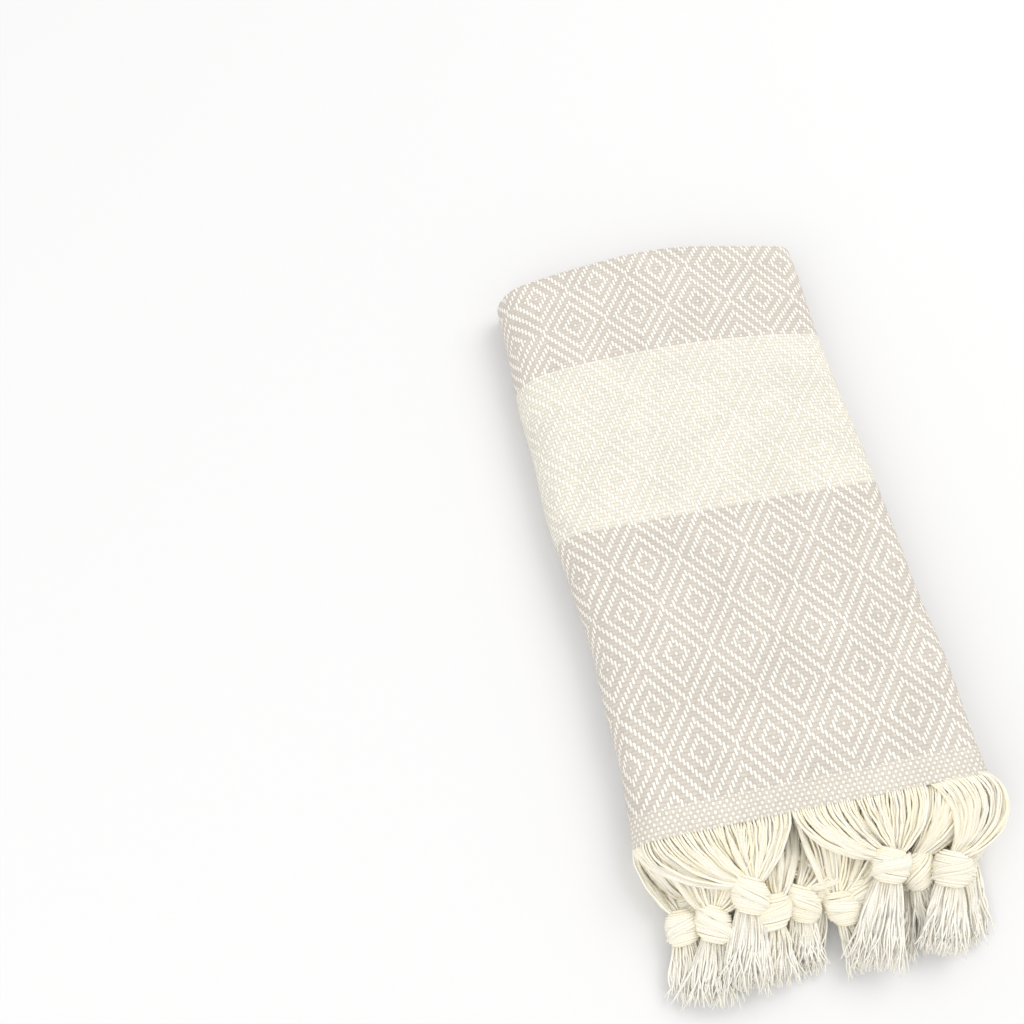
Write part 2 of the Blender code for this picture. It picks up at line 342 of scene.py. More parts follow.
class Wires:
    """Short ways to add nodes to a tree: each call returns the output socket of a new node."""

    def __init__(self, tree):
        self.tree = tree

    def put(self, socket, value):
        if isinstance(value, bpy.types.NodeSocket):
            self.tree.links.new(value, socket)
        elif value is not None:
            socket.default_value = value

    def math(self, operation, *values):
        node = self.tree.nodes.new("ShaderNodeMath")
        node.operation = operation
        for socket, value in zip(node.inputs, values):
            self.put(socket, value)
        return node.outputs[0]

    def ramp(self, value, low, high, to_low=0.0, to_high=1.0, smooth=True):
        node = self.tree.nodes.new("ShaderNodeMapRange")
        node.interpolation_type = "SMOOTHSTEP" if smooth else "LINEAR"
        for socket, given in zip(node.inputs, (value, low, high, to_low, to_high)):
            self.put(socket, given)
        return node.outputs[0]

    def mix(self, share, first, second):
        """Colours by a share."""
        node = self.tree.nodes.new("ShaderNodeMix")
        node.data_type = "RGBA"
        self.put(node.inputs[0], share)
        self.put(node.inputs[6], first)
        self.put(node.inputs[7], second)
        return node.outputs[2]

    def lerp(self, share, first, second):
        """Numbers by a share."""
        node = self.tree.nodes.new("ShaderNodeMix")
        self.put(node.inputs[0], share)
        self.put(node.inputs[2], first)
        self.put(node.inputs[3], second)
        return node.outputs[0]

    def join(self, x, y, z=0.0):
        node = self.tree.nodes.new("ShaderNodeCombineXYZ")
        for socket, value in zip(node.inputs, (x, y, z)):
            self.put(socket, value)
        return node.outputs[0]

    def noise(self, place, scale, detail=2.0, roughness=0.5):
        node = self.tree.nodes.new("ShaderNodeTexNoise")
        self.put(node.inputs["Vector"], place)
        self.put(node.inputs["Scale"], scale)
        node.inputs["Detail"].default_value = detail
        node.inputs["Roughness"].default_value = roughness
        return node.outputs["Fac"]

    def grain(self, x, y, z=0.0):
        """One chance number from 0 to 1 for each whole place."""
        node = self.tree.nodes.new("ShaderNodeTexWhiteNoise")
        self.put(node.inputs["Vector"], self.join(x, y, z))
        return node.outputs["Value"]

    def group(self, group, **values):
        node = self.tree.nodes.new("ShaderNodeGroup")
        node.node_tree = group
        for label, value in values.items():
            self.put(node.inputs[label.replace("_", " ")], value)
        return node.outputs


# %% The draft: which thread is on top at a crossing
ENDS = 410
PICKS = 620
END_PITCH = CLOTH_WIDTH / ENDS
PICK_PITCH = CLOTH_LENGTH / PICKS
ENDS_REPEAT, PICKS_REPEAT = 22, 24
END_SHIFT, PICK_SHIFT = 13.0, 7.0


def make_draft():
    """1 where the warp end is on top. The hem strip is plain weave, the rest diamond twill."""
    group, given, result = new_group(
        "Diamond draft",
        [("End", "NodeSocketFloat", 0.0), ("Pick", "NodeSocketFloat", 0.0)]
        + [("Plain", "NodeSocketFloat", 0.0)],
        [("Warp", "NodeSocketFloat")],
    )
    wires = Wires(group)
    end, pick, plain = given.outputs[:3]
    side = wires.math("PINGPONG", wires.math("ADD", end, END_SHIFT), ENDS_REPEAT / 2)
    rise = wires.math("PINGPONG", wires.math("ADD", pick, PICK_SHIFT), PICKS_REPEAT / 2)
    # The extra half keeps whole counts clear of the edges of the comparison.
    total = wires.math("ADD", wires.math("ADD", side, rise), 1.5)
    count = wires.math("FLOORED_MODULO", total, 4.0)
    twill = wires.math("LESS_THAN", count, 2.0)
    even = wires.math("FLOORED_MODULO", wires.math("ADD", end, pick), 2.0)
    checker = wires.math("LESS_THAN", even, 0.5)
    group.links.new(wires.lerp(plain, twill, checker), result.inputs["Warp"])
    return group


DRAFT = make_draft()
print("the draft repeats on", ENDS_REPEAT, "ends and", PICKS_REPEAT, "picks")


# %% The weave: floats, gaps and the height of each thread
FLOAT_END = 0.32
WARP_REACH, WEFT_REACH, CROWN_FLAT = 0.54, 0.60, 0.08


def make_weave():
    group, given, result = new_group(
        "Woven threads",
        [("Place", "NodeSocketVector", None), ("Plain", "NodeSocketFloat", 0.0)]
        + [("Waver", "NodeSocketFloat", 0.25), ("Slant", "NodeSocketFloat", 0.10)],
        [(name, "NodeSocketFloat") for name in ("Warp", "Height", "Gap", "Tone")],
    )
    wires = Wires(group)
    place, plain, waver, slant = given.outputs[:4]
    split = group.nodes.new("ShaderNodeSeparateXYZ")
    group.links.new(place, split.inputs[0])
    ends = wires.math("DIVIDE", split.outputs[0], END_PITCH)
    picks = wires.math("DIVIDE", split.outputs[1], PICK_PITCH)
    # No two threads run quite straight or stay quite the same width.
    drift = wires.math("SUBTRACT", wires.noise(place, 420.0, 1.0), 0.5)
    lift = wires.math("SUBTRACT", wires.noise(wires.join(picks, ends, 3.0), 0.37, 1.0), 0.5)
    ends = wires.math("ADD", ends, wires.math("MULTIPLY", drift, waver))
    lift = wires.math("MULTIPLY", lift, wires.math("MULTIPLY", waver, 1.6))
    picks = wires.math("ADD", picks, lift)
    end, pick = wires.math("FLOOR", ends), wires.math("FLOOR", picks)
    across, along = wires.math("SUBTRACT", ends, end), wires.math("SUBTRACT", picks, pick)

    def on_top(shift_end, shift_pick):
        a = wires.math("ADD", end, float(shift_end))
        b = wires.math("ADD", pick, float(shift_pick))
        return wires.group(DRAFT, End=a, Pick=b, Plain=plain)["Warp"]

    here = on_top(0, 0)

    def rounded(inside, before, after):
        """A float's round ends: 1 along its middle, falling where it dives under."""
        start = wires.math("MAXIMUM", wires.ramp(inside, 0.0, FLOAT_END), before)
        finish = wires.math("MAXIMUM", wires.ramp(inside, 1.0, 0.68), after)
        return wires.math("MULTIPLY", start, finish)

    def crown(inside, middle, reach):
        """A thread's round top, from its place across the thread."""
        offset = wires.math("ABSOLUTE", wires.math("SUBTRACT", inside, middle))
        return wires.ramp(offset, reach, CROWN_FLAT)

    # Twist makes a float lie a little aslant: its middle moves over between its two ends.
    below, above = on_top(0, -1), on_top(0, 1)
    lean = wires.math("SUBTRACT", along, 0.5)
    half_a_pick = wires.math("MULTIPLY", wires.math("SUBTRACT", below, above), 0.5)
    lean = wires.math("ADD", lean, half_a_pick)
    middle = wires.math("ADD", 0.5, wires.math("MULTIPLY", lean, slant))
    warp = wires.math("MULTIPLY", crown(across, middle, WARP_REACH), rounded(along, below, above))
    left, right = on_top(-1, 0), on_top(1, 0)
    left, right = wires.math("SUBTRACT", 1.0, left), wires.math("SUBTRACT", 1.0, right)
    weft = wires.math("MULTIPLY", crown(along, 0.5, WEFT_REACH), rounded(across, left, right))
    weft = wires.ramp(weft, 0.0, 1.0, 0.40, 0.58)
    warp_share = wires.math("MULTIPLY", here, wires.ramp(warp, 0.08, 0.66))
    height = wires.lerp(warp_share, weft, wires.ramp(warp, 0.0, 1.0, 0.35, 1.0))
    thread = wires.lerp(here, pick, end)
    length = wires.lerp(here, wires.math("MULTIPLY", ends, 0.5), wires.math("MULTIPLY", picks, 0.5))
    tone = wires.grain(thread, here, wires.math("FLOOR", length))
    # Gap is 1 where the threads lie low, between floats; the finish paints shade there.
    for name, value in (
        ("Warp", warp_share),
        ("Height", height),
        ("Gap", wires.ramp(height, 0.60, 0.20)),
        ("Tone", tone),
    ):
        group.links.new(value, result.inputs[name])
    return group


WEAVE = make_weave()
print("the weave group holds", len(WEAVE.nodes), "nodes")

# %% [markdown]
# ## The cloth's finish
#
# White warp runs everywhere. The weft changes: greige in the ground, cream in the band, and a paler
# greige in the plain hem strip, where the two colours make a fine check. Painted shade darkens the
# gaps between floats, most of all in the band. Dye takes unevenly along a coarse, slubby yarn, and
# loose fibres over the surface soften it, which a little sheen gives at low angles.

# %% The cloth's material
HEM_STRIP = 0.0095
BAND_START, BAND_END = 0.1105, 0.1800
WARP_COLOUR = (0.865, 0.840, 0.775, 1.0)
GREIGE_WEFT = (0.590, 0.545, 0.490, 1.0)
CREAM_WEFT = (0.735, 0.704, 0.614, 1.0)
HEM_WEFT = (0.640, 0.600, 0.530, 1.0)
# Painted shade for the gaps between floats, in the ground and, darker, in the band.
GAP_PAINTED_SHADE = (0.700, 0.655, 0.590, 1.0)
BAND_GAP_PAINTED_SHADE = (0.560, 0.540, 0.460, 1.0)


def make_cloth_material():
    material = bpy.data.materials.new("woven_cotton")
    material.use_nodes = True
    tree = material.node_tree
    wires = Wires(tree)
    shader = tree.nodes["Principled BSDF"]
    unfolded = tree.nodes.new("ShaderNodeUVMap")
    unfolded.uv_map = "Unfolded"
    place = unfolded.outputs["UV"]
    split = tree.nodes.new("ShaderNodeSeparateXYZ")
    tree.links.new(place, split.inputs[0])
    from_hem = wires.math("PINGPONG", split.outputs[1], CLOTH_LENGTH / 2)
    plain = wires.math("LESS_THAN", from_hem, HEM_STRIP)
    # A pick is one colour all along; here the band lies between two set distances from either hem.
    in_band = wires.math(
        "MULTIPLY",
        wires.math("GREATER_THAN", from_hem, BAND_START),
        wires.math("LESS_THAN", from_hem, BAND_END),
    )
    woven = wires.group(WEAVE, Place=place, Plain=plain)
    weft = wires.mix(in_band, wires.mix(plain, GREIGE_WEFT, HEM_WEFT), CREAM_WEFT)
    threads = wires.mix(woven["Warp"], weft, WARP_COLOUR)
    tone = wires.ramp(woven["Tone"], 0.0, 1.0, 0.95, 1.03, smooth=False)
    wash = wires.ramp(wires.noise(place, 55.0, 3.0), 0.3, 0.7, 0.965, 1.03)
    slubs = wires.ramp(wires.noise(place, 1100.0, 3.0, 0.7), 0.3, 0.7, 0.90, 1.08, smooth=False)
    shade = wires.math("MULTIPLY", tone, wires.math("MULTIPLY", wash, slubs))
    toned = tree.nodes.new("ShaderNodeVectorMath")
    toned.operation = "SCALE"
    tree.links.new(threads, toned.inputs[0])
    tree.links.new(shade, toned.inputs["Scale"])
    # Painted shade: the colour darkens where the threads dive low, between the floats.
    gap = tree.nodes.new("ShaderNodeMix")
    gap.data_type, gap.blend_type = "RGBA", "MULTIPLY"
    tree.links.new(wires.math("MULTIPLY", woven["Gap"], 0.85), gap.inputs[0])
    tree.links.new(toned.outputs[0], gap.inputs[6])
    tree.links.new(wires.mix(in_band, GAP_PAINTED_SHADE, BAND_GAP_PAINTED_SHADE), gap.inputs[7])
    tree.links.new(gap.outputs[2], shader.inputs["Base Color"])
    rough = wires.ramp(woven["Height"], 0.0, 1.0, 0.97, 0.80)
    tree.links.new(rough, shader.inputs["Roughness"])
    fibres = wires.noise(place, 5200.0, 2.0)
    relief = wires.math("ADD", woven["Height"], wires.math("MULTIPLY", fibres, 0.22))
    bump = tree.nodes.new("ShaderNodeBump")
    bump.inputs["Strength"].default_value = 0.8
    bump.inputs["Distance"].default_value = 0.00028
    tree.links.new(relief, bump.inputs["Height"])
    tree.links.new(bump.outputs[0], shader.inputs["Normal"])
    shader.inputs["Sheen Weight"].default_value = 0.12
    shader.inputs["Sheen Roughness"].default_value = 0.6
    shader.inputs["Specular IOR Level"].default_value = 0.25
    return material


towel_cloth.data.materials.append(make_cloth_material())

# %% [markdown]
# ## The fringe
#
# Beyond the last pick the warp runs on loose. Forty-one ends at a time are drawn together, tied in
# one overhand knot, and cut off, so each tassel has three parts: a web of separate yarns that sweep
# in from the hem, a knot wound from the same yarns, and a tail that opens and frays. Every yarn is
# a thin tube along its own path. Arrays hold all the paths of a part at once, which keeps the
# hundreds of yarns quick to make.

# %% Tubes along many paths
ENDS_IN_TASSEL = ENDS // 10
YARNS_IN_WEB = 54
TAIL_MARK = 1.0
ROUND_SHARE = 0.98


def tubes(paths, radii, sides, up, first_yarn=0, mark=0.0):
    """Points, faces and UVs of closed tubes. paths is (yarn, step, 3) and radii (yarn, step).
    In the UVs, the whole part of U numbers the yarn, its fraction goes round, and V is length.
    A mark is added to V, by which the finish can tell tails from webs and knots."""
    ahead = np.gradient(paths, axis=1)
    ahead /= np.linalg.norm(ahead, axis=2, keepdims=True) + 1e-12
    one = np.cross(ahead, np.asarray(up, float))
    one /= np.linalg.norm(one, axis=2, keepdims=True) + 1e-12
    two = np.cross(ahead, one)
    turn = np.linspace(0.0, 2 * math.pi, sides, endpoint=False)
    ring = np.cos(turn)[:, None] * one[:, :, None, :] + np.sin(turn)[:, None] * two[:, :, None, :]
    points = paths[:, :, None, :] + radii[:, :, None, None] * ring
    yarns, steps = radii.shape
    index = np.arange(yarns * steps * sides).reshape(yarns, steps, sides)
    after = np.roll(index, -1, axis=2)
    quads = np.stack([index[:, :-1], after[:, :-1], after[:, 1:], index[:, 1:]], axis=-1)
    gone = np.linalg.norm(np.diff(paths, axis=1), axis=2)
    gone = mark + np.concatenate([np.zeros((yarns, 1)), np.cumsum(gone, axis=1)], axis=1)
    share = np.arange(sides) / sides
    number = first_yarn + np.arange(yarns)[:, None, None] + 0 * gone[:, :-1, None]
    low_u = number + share * ROUND_SHARE
    high_u = number + (share + 1 / sides) * ROUND_SHARE
    low_v = gone[:, :-1, None] + 0 * share
    high_v = gone[:, 1:, None] + 0 * share
    us = np.stack([low_u, high_u, high_u, low_u], axis=-1)
    vs = np.stack([low_v, low_v, high_v, high_v], axis=-1)
    faces = quads.reshape(-1, 4).tolist()
    uvs = np.stack([us, vs], axis=-1).reshape(-1, 2)
    caps = np.concatenate([index[:, 0, ::-1], index[:, -1]], axis=0)
    cap_numbers = np.tile(first_yarn + np.arange(yarns) + 0.5, 2)
    faces += caps.tolist()
    cap_v = np.concatenate([gone[:, 0], gone[:, -1]])
    cap_uvs = np.repeat(np.stack([cap_numbers, cap_v], axis=-1), sides, axis=0)
    return points.reshape(-1, 3), faces, np.concatenate([uvs, cap_uvs])


class YarnWork:
    """Collects the tubes of one comb, and makes one mesh of them."""

    def __init__(self):
        self.points, self.faces, self.uvs = [], [], []
        self.count, self.yarns = 0, 0

    def add(self, paths, radii, sides=5, up=(0.0, 0.0, 1.0), mark=0.0):
        points, faces, uvs = tubes(paths, radii, sides, up, self.yarns, mark)
        self.points.append(points)
        self.faces += [[corner + self.count for corner in face] for face in faces]
        self.uvs.append(uvs)
        self.count += len(points)
        self.yarns += len(paths)

    def mesh(self, name):
        made = new_mesh(name, np.concatenate(self.points), self.faces, "Yarn",
                        np.concatenate(self.uvs))
        triangles = sum(len(polygon.vertices) - 2 for polygon in made.data.polygons)
        print(name, "holds", self.yarns, "yarns and", triangles, "triangles")
        return made


# %% [markdown]
# ## Where the tassels lie
#
# Folding brings the twenty tassels to the near side in layers. The three of the upper ply lie on
# top, with the inner end's tassels just under them, and the rest are pressed flat below. Each row
# gives, in millimetres and degrees, the middle of the knot, the end of the tail, how far the
# knot's windings slant, how far the tail flares to each side, and how far the web's outer yarns
# hang out in an arc or swing out past the fold.

# %% Tables of the knots and tails
OUTER_TASSELS = (
    {"knot": (-34, -134, 5.6), "tail": (-36, -158, 3.5), "slant": 12, "arc": 0.4, "flare": 6.5},
    {"knot": (-11.2, -137.2, 9.6), "tail": (-14.5, -156, 4.5), "slant": -20, "arc": 0.6, "flare": 5},
    {"knot": (38.6, -137, 15.5), "tail": (28.8, -160, 9.5), "slant": 10, "arc": 1.2, "flare": 6.4,
     "swing": 26},
    {"knot": (19, -132, 16.5), "tail": (7.0, -160.5, 10), "slant": 5, "arc": 1.1, "flare": 8.2},
    {"knot": (-28.4, -132, 16.5), "tail": (-36, -159, 10), "slant": -12, "arc": 1.25, "flare": 7.6,
     "extra": 8},
    {"knot": (-50, -136.5, 7.0), "tail": (-52, -158, 4), "slant": 20, "arc": 0.5, "flare": 6.0,
     "skip": 8},
    {"knot": (-20, -133, 5.0), "tail": (-22, -158, 3), "slant": 0, "arc": 0.4, "flare": 6.0},
    {"knot": (49, -129, 5.6), "tail": (42, -155, 3), "slant": -10, "arc": 0.4, "flare": 6.0},
    {"knot": (44, -136, 6.4), "tail": (38, -159, 4), "slant": 16, "arc": 0.4, "flare": 6.0},
    {"knot": (9.5, -137.5, 7.5), "tail": (9, -157, 5), "slant": 24, "arc": 0.6, "flare": 6.0},
)
INNER_TASSELS = (
    {"knot": (-22, -138, 12.8), "tail": (-26.5, -159, 7), "slant": 28, "arc": 0.6, "flare": 6.5},
    {"knot": (25, -134, 5.6), "tail": (15, -158, 4), "slant": -8, "arc": 0.4, "flare": 6.0},
    {"knot": (29, -134.5, 10.5), "tail": (33, -152, 6), "slant": 18, "arc": 0.6, "flare": 6.0},
    {"knot": (2.5, -141, 7.5), "tail": (7, -160, 4.5), "slant": -20, "arc": 0.6, "flare": 6.0},
    {"knot": (-41, -138, 11.5), "tail": (-46.5, -161, 6), "slant": -16, "arc": 0.6, "flare": 7.0},
    {"knot": (-46, -132, 5.2), "tail": (-45, -159, 3), "slant": 8, "arc": 0.4, "flare": 6.0},
    {"knot": (-3, -134, 5.0), "tail": (-15, -154, 3), "slant": 10, "arc": 0.4, "flare": 4.5},
    {"knot": (14, -134, 4.8), "tail": (10, -159, 3), "slant": -14, "arc": 0.4, "flare": 6.0},
    {"knot": (34, -135, 5.0), "tail": (31, -160, 3.4), "slant": 12, "arc": 0.4, "flare": 6.0},
    {"knot": (-11, -134, 5.0), "tail": (-16, -157, 3), "slant": -6, "arc": 0.4, "flare": 5.0},
)
MILLIMETRE = 0.001
KNOT_WIDE, KNOT_LONG, KNOT_HIGH = 0.0060, 0.0056, 0.0045
YARN_RADIUS = 0.00044
STRANDS_IN_TAIL = 120
LINING_YARNS, LINING_STRANDS = 14, 9

# %% [markdown]
# ## A tassel
#
# The web is a curve for each yarn that leaves the hem straight on, as warp does, and enters the
# knot from its own side. Yarns lean together in small bundles over a lining of thick soft yarns. The knot is
# a ball of slanted windings, the last few crossing them, over a plain core that stops any light
# getting through. The tail's strands leave the knot side by side and spread, sag to what lies
# below, and curl a little more towards their frayed ends, over a lining of their own.

# %% Webs, knots and tails
def unit(vectors):
    return vectors / (np.linalg.norm(vectors, axis=-1, keepdims=True) + 1e-12)


def hermite(start, leave, end, enter, steps):
    """Smooth curves from start to end, as (curve, step, 3), leaving and entering as given."""
    t = np.linspace(0.0, 1.0, steps)[None, :, None]
    return (
        (2 * t**3 - 3 * t**2 + 1) * start[:, None]
        + (t**3 - 2 * t**2 + t) * leave[:, None]
        + (3 * t**2 - 2 * t**3) * end[:, None]
        + (t**3 - t**2) * enter[:, None]
    )


def knot_and_way(row):
    """The middle of a row's knot, the way its tail points, and how long the tail is."""
    knot, tips = np.array(row["knot"]) * MILLIMETRE, np.array(row["tail"]) * MILLIMETRE
    return knot, unit(tips - knot), np.linalg.norm(tips - knot)


def web_of(row, tassel, depth, chance, steps):
    """One curve for each of a tassel's yarns, from the hem to the neck above the knot."""
    first = tassel * ENDS_IN_TASSEL + row.get("skip", 0)
    last = (tassel + 1) * ENDS_IN_TASSEL + row.get("extra", 0) - 1
    distances = (np.linspace(first, last, YARNS_IN_WEB) + 0.5) * END_PITCH
    place, out = across(distances)
    x, z = (place - out * depth).T
    start = settle(x, np.full_like(x, HEM + 0.0012), z)
    knot, tail_way, _ = knot_and_way(row)
    neck = knot - tail_way * 0.55 * KNOT_LONG
    rank = np.argsort(np.argsort(start[:, 0] + 1e-3 * z)) / (YARNS_IN_WEB - 1) * 2 - 1
    end = np.repeat(neck[None], YARNS_IN_WEB, axis=0)
    end[:, 0] += rank * 0.0026
    end[:, 1] += 0.0010 - 0.0016 * np.abs(rank)
    end[:, 2] += chance.uniform(-0.0016, 0.0022, YARNS_IN_WEB)
    gap = end - start
    reach = np.abs(gap[:, 1])
    aside = np.abs(gap[:, 0])
    arc = row["arc"]
    # Bundles of about six yarns share one way of hanging.
    bundle = np.cumsum(chance.random(YARNS_IN_WEB) < 0.17)
    hang = chance.normal(0.0, 1.0, bundle.max() + 1)[bundle]
    leave = np.stack([0 * reach, -(0.75 * reach + 0.60 * arc * aside), 0 * reach], axis=1)
    leave[:, 1] *= 1.0 + 0.20 * hang
    leave[:, 0] += 0.0024 * chance.normal(0.0, 1.0, bundle.max() + 1)[bundle]
    leave += chance.normal(0.0, 0.0009, leave.shape) * (1.0, 1.0, 0.5)
    side = np.stack([out[:, 0], 0 * reach, out[:, 1]], axis=1)
    leave += side * (0.0040 + 0.20 * arc * aside)[:, None]
    leave[:, 0] += row.get("swing", 0) * MILLIMETRE
    enter = np.stack([1.15 * gap[:, 0], -0.85 * reach, 0.9 * gap[:, 2]], axis=1)
    enter[:, 1] *= np.clip(1.0 - 0.045 * 1000 * aside, 0.10, 1.0)
    enter[:, 0] -= 0.9 * row.get("swing", 0) * MILLIMETRE
    paths = hermite(start, leave, end, enter, steps)
    t = np.linspace(0.0, 1.0, steps)[None, :]
    belly = np.sin(math.pi * t)
    wave = chance.normal(0.0, 0.00030, (YARNS_IN_WEB, 3))
    ripple = 0.00022 * np.sin(6 * math.pi * t + 6.3 * chance.random((YARNS_IN_WEB, 1)))
    paths[:, :, 0] += belly * wave[:, :1] + ripple * belly
    lift = 0.0006 * chance.normal(0.0, 1.0, (YARNS_IN_WEB, 1)) + 0.0004 * hang[:, None]
    paths[:, :, 2] += belly * lift
    paths[:, :, 2] = np.maximum(paths[:, :, 2], 0.0006)
    return paths


def knot_of(row, chance, windings, steps):
    """Windings round the knot, as closed-looking curves, and the frame that they are made in."""
    knot, tail_way, _ = knot_and_way(row)
    aside = unit(np.cross(tail_way, (0.0, 0.0, 1.0)))
    upward = np.cross(aside, tail_way)
    turn = np.linspace(0.0, 2 * math.pi, steps)[None, :]
    share = np.linspace(-0.86, 0.86, windings)[:, None]
    share = share + chance.normal(0.0, 0.02, (windings, 1))
    girth = np.sqrt(1.0 - np.clip(share, -0.97, 0.97) ** 2) ** 0.75
    swell = 1.0 + chance.normal(0.0, 0.02, (windings, 1))
    slant = math.tan(math.radians(row["slant"]))
    # A winding ends a little further along than it began, and slants across the top.
    along = share * KNOT_LONG + slant * 0.5 * KNOT_WIDE * girth * np.cos(turn)
    along = along + 0.0006 * np.sin(turn / 2 + share)
    wide = KNOT_WIDE * girth * swell * np.cos(turn)
    high = KNOT_HIGH * girth * swell * np.sin(turn)
    paths = (
        knot
        + along[:, :, None] * tail_way
        + wide[:, :, None] * aside
        + high[:, :, None] * upward
    )
    return paths, (tail_way, aside, upward)


def crossing_of(row, frame_of_knot, chance, strands, steps):
    """The strands that come out from under the windings and pass once over the knot's face."""
    tail_way, aside, upward = frame_of_knot
    knot = knot_and_way(row)[0]
    lay = np.linspace(-1.0, 1.0, strands)[:, None]
    t = np.linspace(0.0, 1.0, steps)[None, :]
    sweep = -0.95 + 1.9 * t
    lean = 1.0 if row["slant"] >= 0 else -1.0
    wide = lean * KNOT_WIDE * 0.98 * np.sin(0.5 * math.pi * sweep)
    along = KNOT_LONG * (0.62 * sweep) + lay * 0.0017 + 0.0002 * chance.normal(0, 1, (strands, 1))
    dome = 1.0 - (wide / (1.12 * KNOT_WIDE)) ** 2 - (along / (1.3 * KNOT_LONG)) ** 2
    high = (KNOT_HIGH + 0.0007) * np.sqrt(np.clip(dome, 0.0, 1.0)) + 0.00015 - 0.0009 * np.abs(lay) ** 2
    return knot + along[:, :, None] * tail_way + wide[:, :, None] * aside + high[:, :, None] * upward


def tail_of(row, chance, strands, steps):
    """A tail's strands, from inside the knot to their frayed ends, and their thicknesses."""
    knot, tail_way, length = knot_and_way(row)
    aside = unit(np.cross(tail_way, (0.0, 0.0, 1.0)))
    upward = np.cross(aside, tail_way)
    spread = np.sort(chance.uniform(-1.0, 1.0, strands))
    layer = chance.uniform(-1.0, 1.0, strands) * np.sqrt(1.0 - 0.8 * spread**2)
    t = np.linspace(0.0, 1.0, steps)[None, :]
    cut = (length * chance.uniform(0.86, 1.08, strands))[:, None]
    flare = row["flare"] * MILLIMETRE
    open_out = 0.0030 + (flare - 0.0030) * t**1.1 + 0.0012 * np.sin(math.pi * t)
    tuft = chance.normal(0.0, 1.0, 12)[np.clip((spread * 6 + 6).astype(int), 0, 11)][:, None]
    wide = spread[:, None] * open_out + 0.0010 * tuft * t**2
    phase = 6.3 * chance.random((strands, 1))
    curl = 7.0 + 6.0 * chance.random((strands, 1))
    wide = wide + 0.00070 * t * np.sin(curl * t + phase)
    wide = wide + 0.0020 * t**3 * chance.normal(0, 1, (strands, 1))
    thick = 0.0019 - 0.0003 * t
    high = layer[:, None] * thick + 0.00040 * t * np.cos(curl * t + phase)
    high = high + 0.0008 * t**3 * chance.normal(0, 1, (strands, 1))
    along = 0.25 * KNOT_LONG + (cut - 0.25 * KNOT_LONG) * t
    paths = knot + along[:, :, None] * tail_way + wide[:, :, None] * aside + high[:, :, None] * upward
    paths[:, :, 2] = np.maximum(paths[:, :, 2], 0.00035)
    radii = np.where(t < 0.7, 0.00043, 0.00043 - 0.00075 * (t - 0.7)) * np.ones((strands, 1))
    return paths, radii


def lining_of_web(webs):
    """Thick soft yarns just under a web, so that its slits show cotton and not a dark hole."""
    picked = np.linspace(1, len(webs) - 2, LINING_YARNS).round().astype(int)
    paths = webs[picked][:, ::2].copy()
    belly = np.sin(math.pi * np.linspace(0.0, 1.0, paths.shape[1]))[None, :]
    paths[:, :, 2] = np.maximum(paths[:, :, 2] - 0.0007, 0.0008)
    return paths, 0.00034 + 0.00086 * belly * np.ones((LINING_YARNS, 1))


def lining_of_tail(row):
    """The same inside a tail: a fan of thick strands that its own strands lie over."""
    knot, tail_way, length = knot_and_way(row)
    aside = unit(np.cross(tail_way, (0.0, 0.0, 1.0)))
    t = np.linspace(0.0, 1.0, 8)[None, :]
    lay = np.linspace(-1.0, 1.0, LINING_STRANDS)[:, None]
    wide = lay * (0.0022 + (0.8 * row["flare"] * MILLIMETRE - 0.0022) * t)
    along = 0.2 * KNOT_LONG + (0.80 * length - 0.2 * KNOT_LONG) * t + 0.0 * lay
    paths = knot + along[:, :, None] * tail_way + wide[:, :, None] * aside
    radii = 0.0014 - 0.0009 * t**2 + 0.0 * lay
    paths[:, :, 2] = np.maximum(paths[:, :, 2] - 0.0004, radii)
    return paths, radii


def core_of(row, frame_of_knot):
    """A plain ball a little inside the windings, as one thick tube with round ends."""
    tail_way = frame_of_knot[0]
    t = np.linspace(-0.94, 0.94, 9)
    path = knot_and_way(row)[0] + t[:, None] * KNOT_LONG * tail_way
    radius = (KNOT_HIGH - 0.0001) * np.sqrt(1.0 - t**2) ** 0.75
    return path[None], radius[None]


def build_comb(name, rows, depth, seed):
    work = YarnWork()
    for tassel, row in enumerate(rows):
        chance = np.random.default_rng(seed + tassel)
        webs = web_of(row, tassel, depth, chance, 15)
        taper = YARN_RADIUS * (1.0 + chance.normal(0.0, 0.10, (YARNS_IN_WEB, 1)))
        work.add(webs, np.repeat(taper, 15, axis=1), sides=4)
        work.add(*lining_of_web(webs), sides=5)
        windings, frame_of_knot = knot_of(row, chance, 15, 25)
        work.add(windings, np.full(windings.shape[:2], 0.00058), sides=5, up=frame_of_knot[0])
        over = crossing_of(row, frame_of_knot, chance, 6, 15)
        work.add(over, np.full(over.shape[:2], 0.00052), sides=5, up=frame_of_knot[0])
        work.add(*core_of(row, frame_of_knot), sides=12)
        work.add(*lining_of_tail(row), sides=5, mark=TAIL_MARK)
        tails, radii = tail_of(row, chance, STRANDS_IN_TAIL, 10)
        work.add(tails, radii, sides=3, mark=TAIL_MARK)
    return work.mesh(name)


outer_yarns = build_comb("outer_end_fringe", OUTER_TASSELS, 0.0, 40)
inner_yarns = build_comb("inner_end_fringe", INNER_TASSELS, PITCH, 60)

# %% [markdown]
# ## The yarn's finish
#
# Fringe yarn is undyed cotton in two twisted plies. The twist shows as fine slanting grooves, a bump
# with painted shade laid along it, and each yarn has its own tone of cream, with a few that are
# yellower. Where yarns lie deep among others the light that reaches them has bounced off cream
# cotton, so the shadows are golden and not grey.

# %% The yarn's material
YARN_PALE, YARN_DEEP = (0.930, 0.893, 0.778, 1.0), (0.918, 0.848, 0.662, 1.0)
# Of the next two colours, the second is painted shade for the groove between the two plies.
FRAYED, GROOVE_PAINTED_SHADE = (0.965, 0.932, 0.835, 1.0), (0.86, 0.80, 0.68, 1.0)
TWISTS = 900.0


